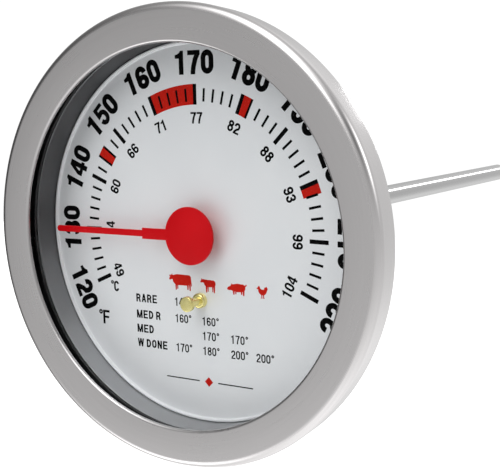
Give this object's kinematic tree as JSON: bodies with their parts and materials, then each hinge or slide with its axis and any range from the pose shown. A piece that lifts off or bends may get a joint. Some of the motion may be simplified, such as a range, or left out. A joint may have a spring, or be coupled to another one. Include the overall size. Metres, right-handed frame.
{
  "type": "meat thermometer",
  "caption": "Round dial thermometer with a windowed steel case, a red pointer and a long pointed stem behind it that holds a bimetal coil.",
  "frame": {"origin": "on the stem's axis, where the stem leaves its ferrule behind the case", "axes": "+Y along the stem towards its point, +Z towards the top of the dial, +X to the right of someone reading the dial"},
  "size_m": [0.0702, 0.146, 0.0702],
  "materials": {
    "bezel_steel": "satin stainless with polished rolled edges",
    "case_steel": "drawn stainless, satin",
    "stem_steel": "polished stainless",
    "plain_steel": "plain pressed or turned steel",
    "gasket_rubber": "black moulded silicone",
    "seal_rubber": "flat red-brown silicone",
    "window_glass": "clear flat glass",
    "dial_face": "silver-white satin aluminium with printed scales",
    "red_paint": "semi-gloss red paint",
    "brass": "turned brass",
    "bimetal": "rolled bimetal strip"
  },
  "bodies": {
    "case": {"bezel_ring": "bezel_steel", "case_cup": "case_steel", "lens_gasket": "gasket_rubber", "glass_lens": "window_glass", "dial_plate": "dial_face", "dial_support": "plain_steel", "stop_pin": "brass", "front_bearing": "brass", "stem_ferrule": "case_steel", "ferrule_seal": "seal_rubber", "ferrule_nut": "plain_steel", "lock_washer": "plain_steel", "stem_tube": "stem_steel", "upper_guide": "brass", "lower_guide": "brass", "bimetal_helix": "bimetal", "helix_anchor": "plain_steel", "stem_tip": "stem_steel"},
    "pointer_shaft": {"pointer": "red_paint", "pointer_hub": "brass", "spindle": "plain_steel", "thrust_collar": "brass", "helix_collar": "plain_steel"}
  },
  "joints": [
    {"name": "pointer_turn", "type": "hinge", "parent": "case", "child": "pointer_shaft", "pos_m": [0, -0.011, 0], "axis": [0, 1, 0], "range_deg": [-83, 263], "stiffness_Nm_per_rad": 0.0006}
  ]
}
